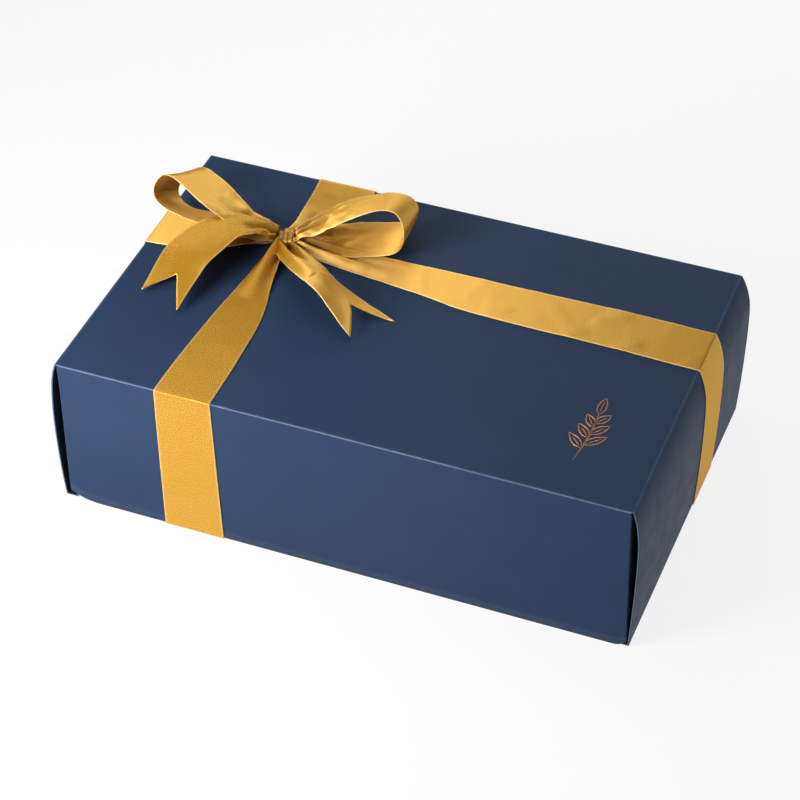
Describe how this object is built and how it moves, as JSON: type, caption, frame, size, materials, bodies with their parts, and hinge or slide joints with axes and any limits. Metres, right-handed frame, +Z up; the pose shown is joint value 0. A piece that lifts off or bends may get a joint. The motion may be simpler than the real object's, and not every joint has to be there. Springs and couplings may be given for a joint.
{
  "type": "chocolate box",
  "caption": "Navy folded-board gift box with a full-depth lift-off lid, a satin ribbon and bow glued to the lid, and stacked trays of filled chocolates.",
  "frame": {"origin": "centre of the closed box on the surface it stands on", "axes": "+X along the long side, +Y from the front wall to the back wall, +Z up"},
  "size_m": [0.2572, 0.156, 0.1026],
  "materials": {
    "navy_board": "satin-matte laminated board, navy on both faces",
    "gold_satin": "satin ribbon with a fine cross weave and woven edges",
    "clear_tape": "thin double-sided tape",
    "insert_film": "thin formed film, satin brown",
    "cup_paper": "pleated greaseproof paper",
    "pad_paper": "embossed soft paper",
    "cocoa_chocolate": "dusted with cocoa powder",
    "dark_chocolate": "tempered dark chocolate",
    "milk_chocolate": "tempered milk chocolate",
    "white_chocolate": "piped white chocolate"
  },
  "bodies": {
    "base": {"base_tray": "navy_board", "lower_insert": "insert_film", "lower_cups": "cup_paper", "lower_truffles": "cocoa_chocolate", "lower_domes": "dark_chocolate", "lower_barrels": "milk_chocolate", "lower_swirls": "white_chocolate"},
    "interleaf": {"interleaf_pad": "pad_paper"},
    "upper_layer": {"upper_insert": "insert_film", "upper_cups": "cup_paper", "upper_truffles": "cocoa_chocolate", "upper_domes": "dark_chocolate", "upper_barrels": "milk_chocolate", "upper_swirls": "white_chocolate"},
    "pad": {"cushion_pad": "pad_paper"},
    "lid": {"lid": "navy_board", "ribbon_front": "gold_satin", "ribbon_back": "gold_satin", "ribbon_left": "gold_satin", "ribbon_right": "gold_satin", "ribbon_knot": "gold_satin", "ribbon_tapes": "clear_tape", "bow_loop_left": "gold_satin", "bow_loop_right": "gold_satin", "bow_tail_left": "gold_satin", "bow_tail_right": "gold_satin"}
  },
  "joints": [
    {"name": "lid_lift", "type": "slide", "parent": "base", "child": "lid", "axis": [0, 0, 1], "range_m": [0, 0.16]},
    {"name": "pad_lift", "type": "slide", "parent": "base", "child": "pad", "axis": [0, 0, 1], "range_m": [0, 0.0784]},
    {"name": "upper_layer_lift", "type": "slide", "parent": "base", "child": "upper_layer", "axis": [0, 0, 1], "range_m": [0, 0.0672]},
    {"name": "interleaf_lift", "type": "slide", "parent": "base", "child": "interleaf", "axis": [0, 0, 1], "range_m": [0, 0.056]}
  ],
  "couplings": [
    {"joint": "pad_lift", "follows": "lid_lift", "ratio": 0.49},
    {"joint": "upper_layer_lift", "follows": "lid_lift", "ratio": 0.42},
    {"joint": "interleaf_lift", "follows": "lid_lift", "ratio": 0.35}
  ]
}
